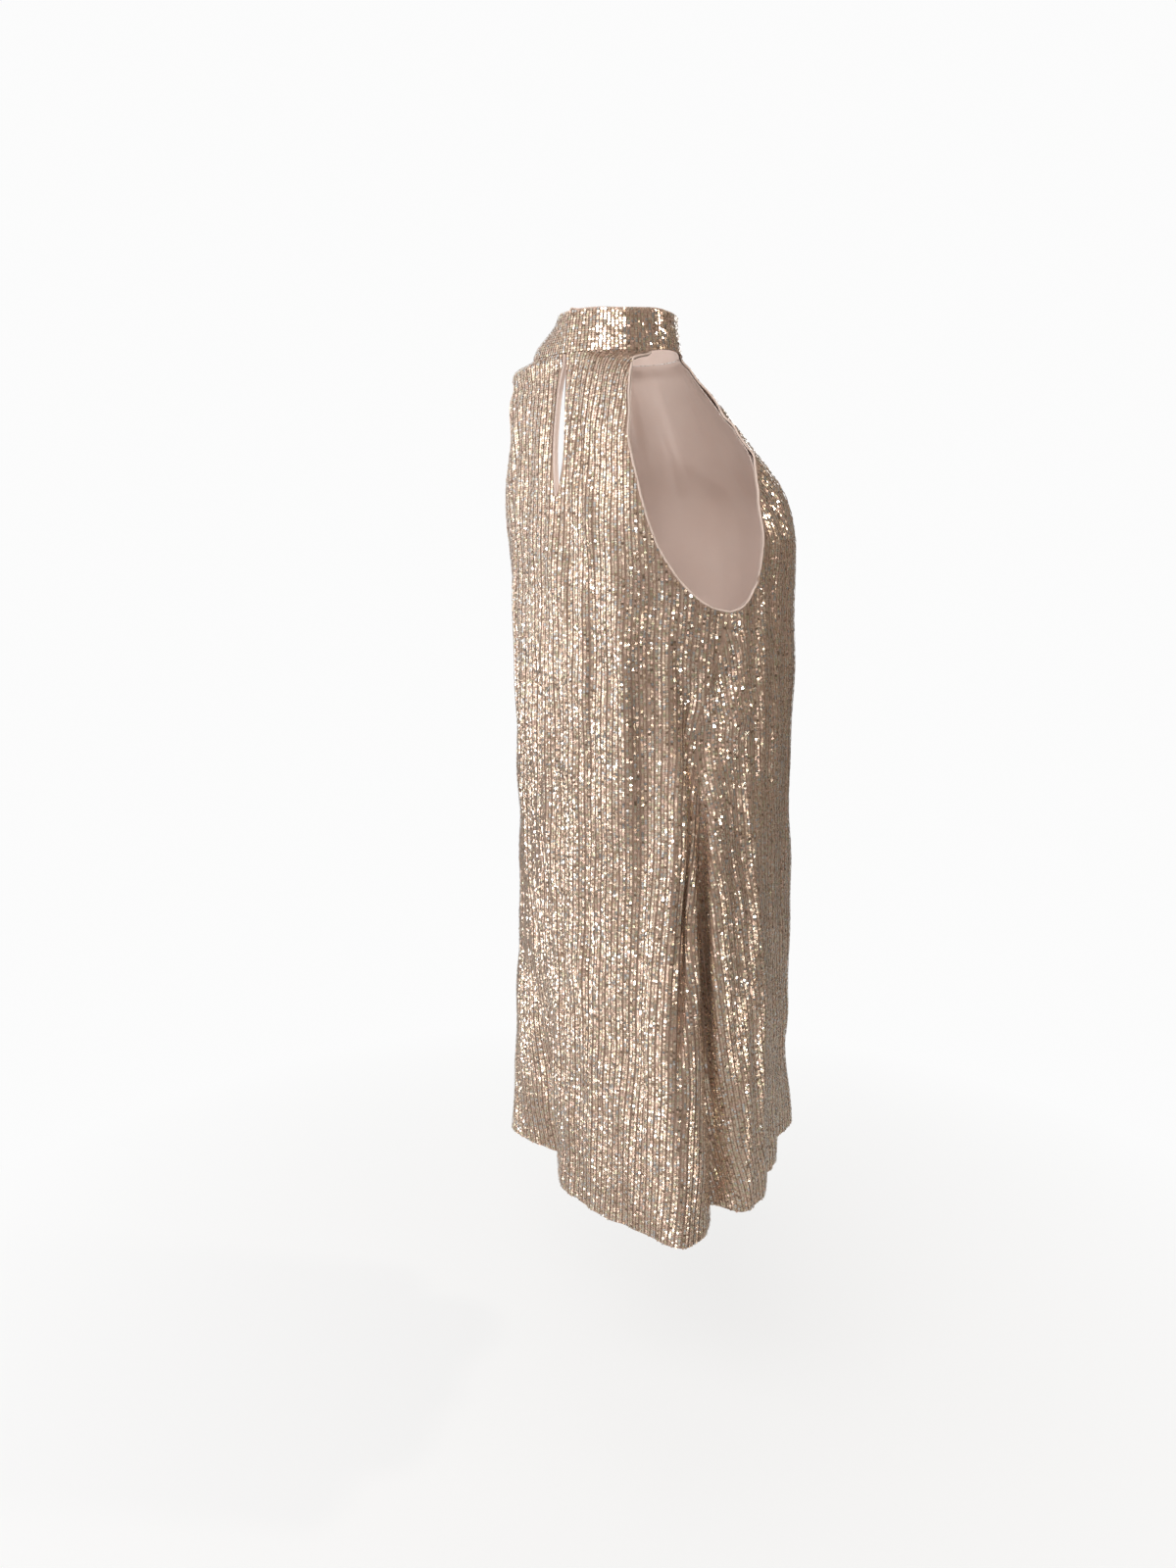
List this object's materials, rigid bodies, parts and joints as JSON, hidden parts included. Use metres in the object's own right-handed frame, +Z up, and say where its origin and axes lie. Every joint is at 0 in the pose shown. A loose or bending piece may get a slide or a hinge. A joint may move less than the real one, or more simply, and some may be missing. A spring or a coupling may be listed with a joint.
{
  "type": "cocktail dress",
  "caption": "Sleeveless swing dress in sequinned cloth with a stand collar, deep halter armholes, a keyhole slit at the back and a fluted hem.",
  "frame": {"origin": "middle of the ring where the collar joins the panels, on the neck that holds the dress up", "axes": "+Z up, out of the collar; the front faces -Y and the keyhole back faces +Y; the wearer's left is +X"},
  "size_m": [0.4109, 0.3858, 1.0708],
  "materials": {
    "sequin_cloth": "stretch mesh with vertical rows of small champagne and rose-gold sequins",
    "satin": "nude pink satin with a soft sheen",
    "binding": "nude satin rolled edge",
    "hook_metal": "bent steel wire"
  },
  "bodies": {
    "root": {"back_panel": "sequin_cloth", "front_panel": "sequin_cloth", "collar_band": "sequin_cloth", "collar_facing": "satin", "lining_back": "satin", "lining_front": "satin", "keyhole_facing": "satin", "armhole_binding_right": "binding", "armhole_binding_left": "binding", "collar_hook_1": "hook_metal", "collar_hook_2": "hook_metal", "collar_eye_1": "hook_metal", "collar_eye_2": "hook_metal"}
  },
  "joints": []
}
